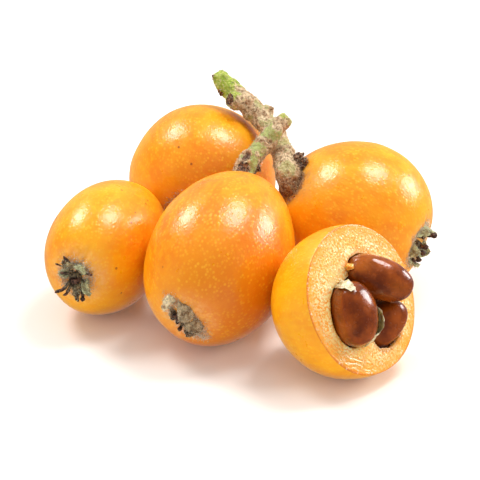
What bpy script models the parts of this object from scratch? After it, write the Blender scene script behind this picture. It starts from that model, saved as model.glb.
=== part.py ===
"""A cluster of loquats lying on a level surface: four whole fruits, a cut half with its seeds, and stalks.

Metres, +Z up. The origin is the middle of the cluster's box, on the surface that the fruits lie on (Z = 0).
The tables below give lengths in millimetres and angles in degrees, in layout coordinates: MIDDLE is taken
off every place, and MM turns millimetres into metres.

A fruit has its own frame: its Z axis runs from the calyx end (-Z) to the stem end (+Z).
"""
import math

import bmesh
import bpy
from mathutils import Matrix, Vector

MM = 0.001
MIDDLE = Vector((1.8, 17.6, 0.0))   # middle of the cluster's box in layout coordinates
GAP = 0.3                           # clearance between pieces that touch
FLAT = 0.3                          # how far a soft fruit settles on the surface
FRUIT_SEGMENTS = 32
FRUIT_RINGS = 17
RING_CROWDING = 1.2                 # above 1 draws a fruit's rings together towards its calyx
BASIN_DEPTH = 1.6                   # hollow that the calyx sits in
BASIN_RADIUS = 5.0
BISECTIONS = 40

# at: place of the centre; turn: heading of the calyx end, from -Y towards -X; lift: its angle above the
# horizon; roll: turn about the fruit's own axis; radius: half its width along its own X axis; tall: its width
# along its own Y axis over that along X; taper: how much broader the calyx end is than the stem end.
FRUITS = {
    "left": dict(at=(-35.4, 13.8), turn=18.4, lift=3.1, roll=0.0,
                 half_length=24.3, radius=15.0, tall=1.15, taper=0.08),
    "front": dict(at=(-4.7, -1.4), turn=22.4, lift=-17.5, roll=0.0,
                  half_length=26.3, radius=18.6, tall=1.09, taper=0.09),
    "back_left": dict(at=(-10.3, 51.8), turn=12.0, lift=-8.0, roll=20.0,
                      half_length=21.4, radius=20.9, tall=1.0, taper=0.09),
    "back_right": dict(at=(31.2, 25.0), turn=-61.5, lift=-12.6, roll=5.0,
                       half_length=21.9, radius=20.6, tall=1.0, taper=0.07),
    "half": dict(at=(28.9, -25.6), turn=131.5, lift=-27.4, roll=-9.6,
                 half_length=21.9, radius=19.4, tall=1.0, taper=0.08),
}
CUT_HEIGHT = 2.6                    # cut plane of the half, along its axis from the centre

# Calyx of each fruit: five sepals round a tuft of dried stamens. ring: radius that the sepals grow from;
# first: bearing of the first sepal from the fruit's own X axis; rise and curl: angle of a sepal at its root
# and at its tip, 0 lying outwards and 180 folded inwards; oval: stretch along and across the fruit's own X
# axis; heading: turn of the oval about the fruit's axis; tuft: length of the dried stamens.
CALYXES = {
    "left": dict(ring=3.2, length=4.6, first=-15.0, rise=75.0, curl=5.0, oval=(1.0, 1.0), tuft=3.4),
    "front": dict(ring=4.2, length=4.0, first=0.0, rise=105.0, curl=185.0, oval=(1.5, 0.55), heading=55.0,
                  tuft=1.6),
    "back_left": dict(ring=4.6, length=3.8, first=0.0, rise=105.0, curl=190.0, oval=(1.0, 1.0), tuft=1.8),
    "back_right": dict(ring=4.0, length=4.0, first=0.0, rise=80.0, curl=60.0, oval=(1.0, 1.0), tuft=5.0),
    "half": dict(ring=4.4, length=3.6, first=0.0, rise=105.0, curl=190.0, oval=(1.0, 1.0), tuft=1.6),
}
SEPAL_COUNT = 5
SEPAL_ROWS = 4
SEPAL_THICKNESS = 0.9
SEPAL_THINNING = 0.4                # share of the thickness lost from root to tip
SEPAL_WIDTH = 0.62                  # half width at the root, as a share of the ring
SEPAL_TAPER = 0.75                  # share of the width lost from root to tip
SEPAL_LIFT = 0.85                   # height of a sepal's middle layer over the fruit at its root
STAMEN_KNOB = 1.2
STAMEN_SPREAD = 0.35                # how far the stamens lean outwards
STAMEN_TIP = 0.55                   # width of a stamen's tip over that of its foot

# Seeds of the half, in its own frame with Z measured from the cut plane. size: full width, length, depth.
SEEDS = {
    "upper": dict(at=(4.5, 4.3, 2.8), along=(0.61, -0.54, 0.57), size=(10.4, 18.2, 10.0)),
    "front": dict(at=(-6.1, -2.8, 1.8), along=(0.05, 1.0, 0.0), size=(11.7, 16.5, 11.0)),
    "lower": dict(at=(6.8, -7.5, -1.4), along=(0.55, 0.50, 0.50), size=(9.2, 14.6, 8.8)),
}
SEED_BLUNTNESS = 0.85               # below 1 makes a seed's ends fuller than an ellipsoid's
ELLIPSOID_SEGMENTS = 16
ELLIPSOID_RINGS = 10
POCKET_RADII = (10.5, 9.0, 4.2)     # hollow between the seeds, centred on the cut plane
POCKET_AT = (1.5, -1.5, 0.0)

# Skin left between the seeds: the middle line of a standing leaf, and a flap over the front seed's end.
MEMBRANE_LINE = ((-0.4, 1.2), (0.6, -1.8), (1.3, -5.0), (1.0, -8.4), (0.0, -11.0))
MEMBRANE_HEIGHTS = ((0.5, 3.6), (-1.5, 6.0), (-2.0, 6.8), (-1.6, 5.8), (0.4, 3.8))
FLAP_LINE = ((-8.4, 5.9), (-6.6, 6.3), (-4.6, 6.1), (-2.8, 5.4))
FLAP_HEIGHTS = ((0.2, 2.0), (0.0, 3.4), (0.2, 3.6), (1.0, 3.0))
MEMBRANE_THICKNESS = 0.8

# Stalks: (x, y, z, radius) along the middle line. They start inside their fruit, whose shape is cut off them.
LONG_STALK = (
    (14.6, 23.4, 26.4, 3.9), (13.8, 22.8, 30.8, 3.6), (12.8, 25.8, 34.2, 3.2), (12.0, 34.6, 34.9, 3.0),
    (10.6, 41.2, 36.3, 2.9), (6.6, 48.6, 39.0, 3.1), (2.4, 52.8, 42.1, 3.1), (-1.8, 55.2, 45.0, 2.9),
    (-4.2, 56.8, 46.9, 2.8), (-5.5, 57.8, 48.3, 2.2),
)
LONG_STALK_STUBS = (
    ((1.6, 53.0, 42.9, 2.5), (-1.0, 50.9, 44.2, 2.4), (-2.9, 49.6, 44.9, 2.2)),
    ((7.0, 49.6, 39.8, 2.2), (8.0, 50.6, 41.6, 2.1), (8.7, 51.2, 42.9, 1.8)),
)
SHORT_STALK = (
    (3.4, 21.0, 27.0, 3.4), (1.2, 25.2, 31.2, 3.3), (2.0, 27.6, 34.2, 2.9), (4.6, 29.8, 37.2, 2.7),
    (8.2, 32.4, 40.6, 2.6), (10.8, 34.4, 43.4, 2.5), (12.0, 35.3, 44.5, 2.0),
)
SHORT_STALK_STUBS = (
    ((1.8, 26.6, 33.0, 2.0), (0.9, 24.6, 34.6, 1.8)),
    ((3.0, 28.6, 35.6, 1.8), (1.8, 27.4, 37.0, 1.5)),
)
# Stub left on the back-left fruit: (height over its stem end, radius).
BACK_STALK = ((-1.5, 2.9), (1.75, 2.5), (4.4, 2.3), (5.0, 1.7))
STALK_SIDES = 12

COLOURS = {
    "skin": (0.93, 0.50, 0.10, 1.0),
    "seed": (0.22, 0.07, 0.03, 1.0),
    "membrane": (0.62, 0.55, 0.34, 1.0),
    "stalk": (0.40, 0.32, 0.17, 1.0),
    "sepal": (0.34, 0.33, 0.20, 1.0),
    "stamens": (0.08, 0.045, 0.03, 1.0),
}
ROUGHNESS = {"skin": 0.38, "seed": 0.15, "membrane": 0.5, "stalk": 0.85, "sepal": 0.9, "stamens": 0.9}


def clear_scene():
    for old in list(bpy.context.scene.objects):
        bpy.data.objects.remove(old, do_unlink=True)


def material(name, kind):
    made = bpy.data.materials.new(name)
    made.use_nodes = True
    shader = made.node_tree.nodes["Principled BSDF"]
    shader.inputs["Base Color"].default_value = COLOURS[kind]
    shader.inputs["Roughness"].default_value = ROUGHNESS[kind]
    shader.inputs["Metallic"].default_value = 0.0
    made.diffuse_color = COLOURS[kind]
    return made


def add_object(name, kind, bm, frame):
    """Turns a bmesh in millimetres, in the given frame, into an object of its own."""
    bmesh.ops.recalc_face_normals(bm, faces=bm.faces)
    bmesh.ops.scale(bm, vec=(MM, MM, MM), verts=bm.verts)
    mesh = bpy.data.meshes.new(name)
    bm.to_mesh(mesh)
    bm.free()
    mesh.shade_smooth()
    made = bpy.data.objects.new(name, mesh)
    bpy.context.scene.collection.objects.link(made)
    place = frame.copy()
    place.translation *= MM
    made.matrix_world = place
    made.data.materials.append(material(name, kind))
    return made


def hide_cutter(cutter):
    cutter.hide_render = True
    cutter.display_type = "WIRE"


def boolean(target, cutter, operation):
    hide_cutter(cutter)
    step = target.modifiers.new(cutter.name, "BOOLEAN")
    step.operation = operation
    step.solver = "EXACT"
    step.object = cutter


def bridge(bm, ring, following):
    """Faces between two rings of vertices, where a ring of one vertex is a pole."""
    count = max(len(ring), len(following))
    for i in range(count):
        corners = [ring[i % len(ring)], ring[(i + 1) % len(ring)]]
        corners += [following[(i + 1) % len(following)], following[i % len(following)]]
        face = list(dict.fromkeys(corners))
        bm.faces.new(face)


def profile(fruit, angle, grow=0.0):
    """Distance from the axis and height of the fruit's outline; angle runs from calyx (0) to stem (pi)."""
    radius = (fruit["radius"] + grow) * math.sin(angle) * (1.0 + fruit["taper"] * math.cos(angle))
    height = -(fruit["half_length"] + grow) * math.cos(angle)
    if angle < math.pi / 2.0:
        height += BASIN_DEPTH * math.exp(-(radius / BASIN_RADIUS) ** 2)
    return radius, height


def calyx_height(fruit, distance):
    """Height of the fruit's calyx end at a distance from its axis."""
    low, high = 0.0, math.pi / 2.0
    for _ in range(BISECTIONS):
        middle = (low + high) / 2.0
        if profile(fruit, middle)[0] < distance:
            low = middle
        else:
            high = middle
    return profile(fruit, low)[1]


def fruit_bmesh(fruit, grow=0.0):
    """Closed body with rings round the fruit's axis."""
    bm = bmesh.new()
    rings = []
    for step in range(FRUIT_RINGS + 1):
        angle = math.pi * (step / FRUIT_RINGS) ** RING_CROWDING
        radius, height = profile(fruit, angle, grow)
        if step in (0, FRUIT_RINGS):
            rings.append([bm.verts.new((0.0, 0.0, height))])
            continue
        spokes = [2.0 * math.pi * i / FRUIT_SEGMENTS for i in range(FRUIT_SEGMENTS)]
        tall = radius * fruit["tall"]
        rings.append([bm.verts.new((radius * math.cos(a), tall * math.sin(a), height)) for a in spokes])
    for ring, following in zip(rings, rings[1:]):
        bridge(bm, ring, following)
    return bm


def fruit_frame(fruit):
    """Rotation and place that lay the fruit on the surface, settled by FLAT."""
    turn = math.radians(fruit["turn"])
    lift = math.radians(fruit["lift"])
    level = math.cos(lift)
    axis = Vector((math.sin(turn) * level, math.cos(turn) * level, -math.sin(lift)))
    side = Vector((0.0, 0.0, 1.0)).cross(axis).normalized()
    rotation = Matrix((side, axis.cross(side), axis)).transposed()
    rotation = rotation @ Matrix.Rotation(math.radians(fruit["roll"]), 3, "Z")
    bm = fruit_bmesh(fruit)
    lowest = min((rotation @ vert.co).z for vert in bm.verts)
    bm.free()
    place = Vector((*fruit["at"], -lowest - FLAT)) - MIDDLE
    return Matrix.Translation(place) @ rotation.to_4x4()


def cut_flat(bm, point, normal):
    """Removes what lies on the normal's side of a plane, and closes the cut with one flat face."""
    geometry = list(bm.verts) + list(bm.edges) + list(bm.faces)
    cut = bmesh.ops.bisect_plane(bm, geom=geometry, plane_co=point, plane_no=normal, clear_outer=True)
    edges = [item for item in cut["geom_cut"] if isinstance(item, bmesh.types.BMEdge)]
    bmesh.ops.holes_fill(bm, edges=edges, sides=len(edges))


def settle(bm, frame):
    """Cuts the fruit flat where it rests on the surface."""
    into_fruit = frame.inverted()
    cut_flat(bm, into_fruit @ Vector((0.0, 0.0, 0.0)), into_fruit.to_3x3() @ Vector((0.0, 0.0, -1.0)))


def whole_fruit(name, fruit, frame):
    bm = fruit_bmesh(fruit)
    settle(bm, frame)
    return add_object("fruit_" + name, "skin", bm, frame)


def ellipsoid(radii, frame, blunt=1.0):
    """Ellipsoid with a frame of its own; blunt below 1 makes its two Y ends fuller."""
    bm = bmesh.new()
    loops = []
    for step in range(ELLIPSOID_RINGS + 1):
        angle = math.pi * step / ELLIPSOID_RINGS
        along = -radii[1] * math.cos(angle)
        if step in (0, ELLIPSOID_RINGS):
            loops.append([bm.verts.new((0.0, along, 0.0))])
            continue
        girth = math.sin(angle) ** blunt
        spokes = [2.0 * math.pi * i / ELLIPSOID_SEGMENTS for i in range(ELLIPSOID_SEGMENTS)]
        loops.append([bm.verts.new((radii[0] * girth * math.cos(a), along, radii[2] * girth * math.sin(a)))
                      for a in spokes])
    for ring, following in zip(loops, loops[1:]):
        bridge(bm, ring, following)
    bmesh.ops.transform(bm, matrix=frame, verts=bm.verts)
    return bm


def seed_frame(seed):
    """Frame of a seed inside the half: Y along the seed, X across it and level with the cut."""
    along = Vector(seed["along"]).normalized()
    across = along.cross(Vector((0.0, 0.0, 1.0))).normalized()
    rotation = Matrix((across, along, across.cross(along))).transposed()
    place = Vector(seed["at"]) + Vector((0.0, 0.0, CUT_HEIGHT))
    return Matrix.Translation(place) @ rotation.to_4x4()


def seed_bmesh(seed, grow=0.0):
    radii = [full / 2.0 + grow for full in seed["size"]]
    return ellipsoid(radii, seed_frame(seed), blunt=SEED_BLUNTNESS)


def cut_half(fruit, frame):
    """The half: cut flat across, hollowed for its seeds and for the space between them."""
    bm = fruit_bmesh(fruit)
    cut_flat(bm, Vector((0.0, 0.0, CUT_HEIGHT)), Vector((0.0, 0.0, 1.0)))
    settle(bm, frame)
    half = add_object("fruit_half", "skin", bm, frame)
    for name, seed in SEEDS.items():
        hollow = add_object("hollow_" + name, "skin", seed_bmesh(seed, GAP), frame)
        boolean(half, hollow, "DIFFERENCE")
    middle = Matrix.Translation(Vector(POCKET_AT) + Vector((0.0, 0.0, CUT_HEIGHT)))
    pocket = add_object("hollow_middle", "skin", ellipsoid(POCKET_RADII, middle), frame)
    boolean(half, pocket, "DIFFERENCE")


def ribbon(line, heights, thickness):
    """Closed standing strip: its middle line seen from above, and its lower and upper edge at each point."""
    bm = bmesh.new()
    rings = []
    count = len(line)
    for i, (x, y) in enumerate(line):
        before = Vector(line[max(i - 1, 0)])
        after = Vector(line[min(i + 1, count - 1)])
        run = (after - before).normalized()
        half = Vector((-run.y, run.x)) * (thickness / 2.0)
        low, high = (CUT_HEIGHT + edge for edge in heights[i])
        corners = ((1, low), (1, high), (-1, high), (-1, low))
        rings.append([bm.verts.new((x + half.x * side, y + half.y * side, z)) for side, z in corners])
    for ring, following in zip(rings, rings[1:]):
        bridge(bm, ring, following)
    bm.faces.new(rings[0])
    bm.faces.new(rings[-1])
    return bm


def sepal_path(fruit, calyx):
    """Middle line of a sepal as (distance from the axis, height), from root to tip."""
    distance = calyx["ring"]
    height = calyx_height(fruit, distance) - SEPAL_LIFT
    step = calyx["length"] / SEPAL_ROWS
    path = []
    for row in range(SEPAL_ROWS + 1):
        angle = math.radians(calyx["rise"] + (calyx["curl"] - calyx["rise"]) * row / SEPAL_ROWS)
        path.append((distance, height, angle))
        distance += step * math.cos(angle)
        height -= step * math.sin(angle)
    return path


def sepal(name, number, fruit, calyx, frame):
    """One sepal: a thick pointed leaf that bends along its path, clear of the sepals beside it."""
    bm = bmesh.new()
    rings = []
    spoke = math.radians(calyx["first"]) + 2.0 * math.pi * number / SEPAL_COUNT
    outward = Vector((math.cos(spoke), math.sin(spoke), 0.0))
    sideways = Vector((-math.sin(spoke), math.cos(spoke), 0.0))
    for row, (distance, height, angle) in enumerate(sepal_path(fruit, calyx)):
        share = row / SEPAL_ROWS
        room = distance * math.tan(math.pi / SEPAL_COUNT) - GAP
        width = min(calyx["ring"] * SEPAL_WIDTH * (1.0 - SEPAL_TAPER * share ** 1.5), room)
        depth = SEPAL_THICKNESS / 2.0 * (1.0 - SEPAL_THINNING * share)
        normal = outward * math.sin(angle) + Vector((0.0, 0.0, math.cos(angle)))
        middle = outward * distance + Vector((0.0, 0.0, height))
        corners = ((-1.0, 1.0), (0.0, 1.0), (1.0, 1.0), (1.0, -1.0), (0.0, -1.0), (-1.0, -1.0))
        rings.append([bm.verts.new(middle + sideways * width * x + normal * depth * y) for x, y in corners])
    for ring, following in zip(rings, rings[1:]):
        bridge(bm, ring, following)
    bm.faces.new(rings[0])
    bm.faces.new(rings[-1])
    oval = calyx["oval"]
    bmesh.ops.scale(bm, vec=(oval[0], oval[1], 1.0), verts=bm.verts)
    heading = Matrix.Rotation(math.radians(calyx.get("heading", 0.0)), 3, "Z")
    bmesh.ops.rotate(bm, cent=(0.0, 0.0, 0.0), matrix=heading, verts=bm.verts)
    return add_object("sepal_%s_%d" % (name, number + 1), "sepal", bm, frame)


def stamens(name, fruit, calyx, frame):
    """Tuft of dried stamens: a knob with a spike drawn out of every third face that looks outwards."""
    bm = bmesh.new()
    bmesh.ops.create_icosphere(bm, subdivisions=1, radius=STAMEN_KNOB)
    bm.faces.ensure_lookup_table()
    outer = [face for face in bm.faces if face.normal.z < -0.3]
    outer.sort(key=lambda face: math.atan2(face.normal.y, face.normal.x))
    drawn = bmesh.ops.extrude_discrete_faces(bm, faces=outer[::3])["faces"]
    for face in drawn:
        middle = face.calc_center_median()
        lean = Vector((middle.x * STAMEN_SPREAD, middle.y * STAMEN_SPREAD, -1.0))
        reach = lean.normalized() * calyx["tuft"]
        for vert in face.verts:
            vert.co = middle + (vert.co - middle) * STAMEN_TIP + reach
    foot = calyx_height(fruit, 0.0) - STAMEN_KNOB - GAP
    bmesh.ops.translate(bm, vec=(0.0, 0.0, foot), verts=bm.verts)
    return add_object("stamens_" + name, "stamens", bm, frame)


def tube_bmesh(points, sides=STALK_SIDES):
    """Round stalk through points of (x, y, z, radius), with flat closed ends."""
    bm = bmesh.new()
    middles = [Vector(point[:3]) for point in points]
    side = Vector((0.0, 0.0, 1.0))
    rings = []
    for i, point in enumerate(points):
        run = (middles[min(i + 1, len(points) - 1)] - middles[max(i - 1, 0)]).normalized()
        side = (side - run * side.dot(run)).normalized()
        other = run.cross(side)
        spokes = [2.0 * math.pi * k / sides for k in range(sides)]
        rings.append([bm.verts.new(middles[i] + (side * math.cos(a) + other * math.sin(a)) * point[3])
                      for a in spokes])
    for ring, following in zip(rings, rings[1:]):
        bridge(bm, ring, following)
    bm.faces.new(rings[0])
    bm.faces.new(rings[-1])
    return bm


def stalk(name, route, stubs, near, frames):
    """A stalk joined to its side stubs, cut to clear the fruits near it."""
    layout = Matrix.Translation(-MIDDLE)
    made = add_object("stem_" + name, "stalk", tube_bmesh(route), layout)
    for number, stub in enumerate(stubs):
        branch = add_object("stub_%s_%d" % (name, number), "stalk", tube_bmesh(stub), layout)
        boolean(made, branch, "UNION")
    for other in near:
        body = fruit_bmesh(FRUITS[other], GAP)
        room = add_object("room_%s_%s" % (name, other), "skin", body, frames[other])
        boolean(made, room, "DIFFERENCE")
    return made


def back_stalk(fruit, frame):
    """Middle line of the stub on the back-left fruit, along the fruit's own axis, in layout coordinates."""
    route = []
    for height, radius in BACK_STALK:
        place = frame @ Vector((0.0, 0.0, fruit["half_length"] + height)) + MIDDLE
        route.append((place.x, place.y, place.z, radius))
    return route


def build():
    clear_scene()
    frames = {name: fruit_frame(fruit) for name, fruit in FRUITS.items()}
    for name, fruit in FRUITS.items():
        if name == "half":
            cut_half(fruit, frames[name])
        else:
            whole_fruit(name, fruit, frames[name])
        for number in range(SEPAL_COUNT):
            sepal(name, number, fruit, CALYXES[name], frames[name])
        stamens(name, fruit, CALYXES[name], frames[name])
    for name, seed in SEEDS.items():
        add_object("seed_" + name, "seed", seed_bmesh(seed), frames["half"])
    leaf = ribbon(MEMBRANE_LINE, MEMBRANE_HEIGHTS, MEMBRANE_THICKNESS)
    add_object("seed_membrane", "membrane", leaf, frames["half"])
    flap = ribbon(FLAP_LINE, FLAP_HEIGHTS, MEMBRANE_THICKNESS)
    add_object("seed_membrane_flap", "membrane", flap, frames["half"])
    stalk("back_right", LONG_STALK, LONG_STALK_STUBS, ("back_right", "back_left"), frames)
    stalk("front", SHORT_STALK, SHORT_STALK_STUBS, ("front",), frames)
    back_route = back_stalk(FRUITS["back_left"], frames["back_left"])
    stalk("back_left", back_route, (), ("back_left",), frames)


build()
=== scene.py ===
"""Looks of the loquat cluster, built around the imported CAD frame.

Lengths are in millimetres, except in the materials, the lights and the floor, which are in metres; MM turns
millimetres into metres. Angles in the tables are in degrees. A fruit's own frame has its Z axis from the
calyx end (-Z) to the stem end (+Z), and the fruit's pieces are modelled in that frame.
"""
import math

import bpy
import numpy as np
from mathutils import Matrix, Vector


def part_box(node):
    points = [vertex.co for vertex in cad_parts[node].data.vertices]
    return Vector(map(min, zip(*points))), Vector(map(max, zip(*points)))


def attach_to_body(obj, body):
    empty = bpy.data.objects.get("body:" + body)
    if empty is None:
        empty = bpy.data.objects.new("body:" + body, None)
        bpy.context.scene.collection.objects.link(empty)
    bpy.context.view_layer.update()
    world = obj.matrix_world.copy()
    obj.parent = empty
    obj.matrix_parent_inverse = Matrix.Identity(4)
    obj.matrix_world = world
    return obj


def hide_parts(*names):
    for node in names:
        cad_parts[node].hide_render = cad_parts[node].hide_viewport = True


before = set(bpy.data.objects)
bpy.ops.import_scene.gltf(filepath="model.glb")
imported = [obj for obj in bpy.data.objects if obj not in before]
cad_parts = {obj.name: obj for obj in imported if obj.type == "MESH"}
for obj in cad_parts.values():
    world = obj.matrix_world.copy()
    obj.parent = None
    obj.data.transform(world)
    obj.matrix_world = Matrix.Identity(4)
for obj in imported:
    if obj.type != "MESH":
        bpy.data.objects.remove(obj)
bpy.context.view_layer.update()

MM = 0.001

# Fruits, with the CAD source's headings and sizes; their places come from the frame. basin: depth and width
# of the hollow at the calyx; neck: rise and reach of the stem end; lobes: how far the section bulges.
FRUITS = {
    "left": dict(turn=18.4, lift=3.1, roll=0.0, half_length=24.3, radius=15.0, tall=1.15, taper=0.08,
                 basin=(1.6, 5.0), neck=(0.6, 4.0), lobes=0.008),
    "front": dict(turn=22.4, lift=-17.5, roll=0.0, half_length=26.3, radius=18.6, tall=1.09, taper=0.09,
                  basin=(1.8, 5.5), neck=(0.8, 5.0), lobes=0.012),
    "back_left": dict(turn=12.0, lift=-8.0, roll=20.0, half_length=21.4, radius=20.9, tall=1.0, taper=0.09,
                      basin=(1.6, 5.0), neck=(0.6, 5.0), lobes=0.008),
    "back_right": dict(turn=-61.5, lift=-12.6, roll=5.0, half_length=21.9, radius=20.6, tall=1.0, taper=0.07,
                       basin=(3.0, 6.4), neck=(0.4, 4.0), lobes=0.008),
    "half": dict(turn=131.5, lift=-27.4, roll=-9.6, half_length=21.9, radius=19.4, tall=1.0, taper=0.08,
                 basin=(1.6, 5.0), neck=(0.6, 4.0), lobes=0.004),
}
SKIN_SEGMENTS = 224
SKIN_RINGS = 150
# Pit in the back-right fruit's skin for the long stalk's foot, and the ring of hair round that foot.
STALK_PIT = dict(at=(10.7, 7.6, 15.0), depth=1.7, reach=5.4)
FOOT_HAIR = dict(at=(10.7, 5.5, 16.0), ring=4.4)
HAIR = 0.055                        # radius of every hair at its root
# Skin colours of each fruit: deep, bright and yellow; and how strongly painted shade darkens its front side
# to a deeper orange.
SKIN_TINTS = {
    "left": ((0.88, 0.28, 0.001), (0.97, 0.42, 0.003), (1.0, 0.52, 0.008)),
    "front": ((0.84, 0.21, 0.001), (0.94, 0.33, 0.002), (1.0, 0.44, 0.004)),
    "back_left": ((0.88, 0.27, 0.001), (0.96, 0.40, 0.002), (1.0, 0.51, 0.008)),
    "back_right": ((0.86, 0.26, 0.001), (0.96, 0.39, 0.002), (1.0, 0.50, 0.006)),
    "half": ((0.90, 0.32, 0.001), (0.97, 0.44, 0.002), (1.0, 0.52, 0.004)),
}
# Direction of the front side of each fruit that painted shade darkens.
PAINTED_SHADE_SIDE = Vector((0.30, -0.90, 0.10)).normalized()
PAINTED_SHADE_SHARE = {"left": 0.2, "front": 0.7, "back_left": 0.5, "back_right": 0.2, "half": 0.0}

# The half: its cut plane's height over its centre; its seeds, in its own frame with Z measured from that
# plane (size: width, length, depth); and the hollow between them.
CUT_HEIGHT = 2.6
SEEDS = {
    "upper": dict(at=(4.5, 4.3, 2.8), along=(0.61, -0.54, 0.57), size=(10.4, 18.2, 10.0)),
    "front": dict(at=(-6.1, -2.8, 1.8), along=(0.05, 1.0, 0.0), size=(11.7, 16.5, 11.0)),
    "lower": dict(at=(6.8, -7.5, -1.4), along=(0.55, 0.50, 0.50), size=(9.2, 14.6, 8.8)),
}
POCKET = dict(at=(1.5, -1.5, 0.0), radii=(10.5, 9.0, 4.2))
HOLLOW_ROOM = 0.5                   # room round each seed
JUICE_AND_SHADE_REACH = 0.9                   # how far the brown juice stain and painted shade reach beyond a hollow
# Scrap of seed skin on the front seed: direction of its middle from the seed's, its reach in degrees, and its
# width over its length; the bead of torn pulp beside the upper seed.
FLAP = dict(facing=(-0.45, 0.93, 0.30), reach=24.0, wide=0.5)
PULP = dict(at=(-2.6, 8.7, CUT_HEIGHT + 0.7), radii=(1.3, 0.9, 1.0))
# Leaf of seed skin that stands between the seeds: its line on the cut, and its lower and upper edges there.
LEAF_LINE = (
    (-2.6, 4.8), (-0.6, 1.2), (0.6, -1.8), (1.2, -5.0), (0.5, -8.2), (-1.4, -10.4), (-3.6, -11.4),
)
LEAF_EDGES = ((0.0, 2.2), (-0.5, 3.6), (-1.5, 6.0), (-2.0, 6.8), (-1.4, 6.4), (-0.4, 5.6), (0.3, 4.0))
LEAF_THICKNESS = 0.5
LEAF_CURL = 2.2                     # how far its upper edge leans sideways

# Sepals of each calyx: (bearing from the fruit's X axis, length, half width, angle at the root, at the tip,
# how far it has dried); an angle of 0 lies outwards and 180 folds inwards.
SEPALS = {
    "left": ((8, 3, 1.2, 60, 20, 0.3), (60, 4.6, 1.6, 75, 10, 0.8),
             (122, 4.2, 1.8, 80, 30, 0.1), (218, 5, 1.6, 65, 10, 0.2),
             (262, 4.8, 1.2, 60, 5, 0.9)),
    "front": ((0, 4.6, 2.2, 70, 110, 0), (72, 5, 2.5, 95, 175, 0.5),
              (144, 5, 2.6, 95, 180, 0.6), (216, 3.4, 2.1, 80, 130, 0.8),
              (288, 2, 1.8, 80, 110, 0.7)),
    "back_left": ((0, 4.6, 2.8, 100, 185, 0.5), (72, 4.8, 2.8, 100, 180, 0.3),
                  (144, 4.4, 2.7, 95, 185, 0.6), (216, 4.8, 2.8, 100, 175, 0.4),
                  (288, 4.4, 2.8, 100, 185, 0.5)),
    "back_right": ((0, 3.4, 2.4, 70, 100, 0.2), (72, 3.6, 2.5, 65, 105, 0.1),
                   (144, 3.4, 2.4, 70, 100, 0.2), (216, 3.6, 2.5, 65, 90, 0.2),
                   (288, 3.6, 2.5, 65, 100, 0.1)),
    "half": ((0, 4.4, 2.6, 100, 185, 0.5), (72, 4.6, 2.7, 100, 180, 0.35),
             (144, 4.4, 2.6, 95, 185, 0.6), (216, 4.6, 2.7, 100, 175, 0.3),
             (288, 4.4, 2.6, 100, 185, 0.45)),
}
# Calyxes. ring: radius that the sepals grow from; heading: turn of the calyx about the fruit's axis; oval:
# its stretch along and across that heading; thick: thickness of a sepal's root; wool: colour of the felt;
# shift: how far the calyx lies from the fruit's axis.
CALYXES = {
    "left": dict(ring=2.4, heading=0.0, oval=(1.0, 1.0), thick=1.5, wool=(0.56, 0.60, 0.32)),
    "front": dict(ring=4.2, heading=55.0, oval=(1.22, 0.58), thick=2.0, wool=(0.74, 0.62, 0.38),
                  shift=(0.2, 1.4)),
    "back_left": dict(ring=4.2, heading=0.0, oval=(1.0, 1.0), thick=1.8, wool=(0.40, 0.36, 0.19)),
    "back_right": dict(ring=4.4, heading=0.0, oval=(1.0, 1.0), thick=1.0, wool=(0.60, 0.64, 0.36)),
    "half": dict(ring=4.0, heading=0.0, oval=(1.0, 1.0), thick=1.7, wool=(0.40, 0.36, 0.19)),
}
DRY_FELT = (0.34, 0.20, 0.09)       # colour that a sepal's felt dries to
NO_SHIFT = (0.0, 0.0)
# Dried stamens: (bearing of the foot, its distance from the axis, bearing of the lean, angle of the lean from
# straight out, length, thickness, size of the knob at the tip).
STAMENS = {
    "left": ((318, 0.6, 320, 43, 6.6, 0.62, 0.78), (292, 0.9, 296, 46, 5.8, 0.55, 0.66),
             (38, 0.6, 38, 74, 5.6, 0.34, 0.36), (62, 1.4, 62, 74, 4.6, 0.48, 0.62),
             (12, 0.8, 14, 62, 3.4, 0.6, 0.8), (160, 0.8, 160, 76, 4.8, 0.42, 0.55),
             (248, 2.2, 247, 70, 4.6, 0.55, 0.85), (0, 0, 320, 20, 1.8, 1.9, 1.9),
             (200, 0.9, 205, 66, 2.6, 0.34, 0.4), (100, 0.8, 110, 60, 2.4, 0.36, 0.4)),
    "front": ((350, 2, 340, 40, 2.3, 0.6, 0.85), (318, 2.4, 300, 36, 2, 0.6, 0.75),
              (285, 2.6, 290, 42, 2.5, 0.5, 0.75), (15, 1.4, 0, 20, 2.4, 0.6, 0.8),
              (250, 2.6, 225, 44, 2, 0.45, 0.6), (0, 0.8, 0, 5, 2.4, 1.4, 1.5)),
    "back_left": ((270, 1, 270, 30, 2.6, 0.5, 0.6), (30, 1, 30, 35, 2.4, 0.48, 0.6),
                  (150, 1, 150, 35, 2.5, 0.5, 0.6), (0, 0.2, 0, 5, 1.8, 0.9, 1.0)),
    "back_right": ((90, 3.6, 88, 10, 4.6, 0.7, 1.25), (96, 3, 100, 30, 2.8, 0.75, 1.2),
                   (70, 2.6, 60, 32, 2.6, 0.6, 1.0), (0, 0.3, 80, 6, 4.4, 0.7, 1.25),
                   (250, 0.9, 260, 16, 4, 0.65, 1.15), (270, 2.8, 282, 22, 3, 0.6, 1.15),
                   (300, 3.2, 300, 40, 2.6, 0.5, 0.9), (0, 0, 0, 0, 2.2, 1.3, 1.3)),
    "half": ((270, 1, 270, 30, 2.5, 0.5, 0.6), (30, 1, 30, 35, 2.3, 0.46, 0.56),
             (150, 1, 150, 35, 2.4, 0.48, 0.58), (0, 0.2, 0, 5, 1.8, 0.9, 1.0)),
}

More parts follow.
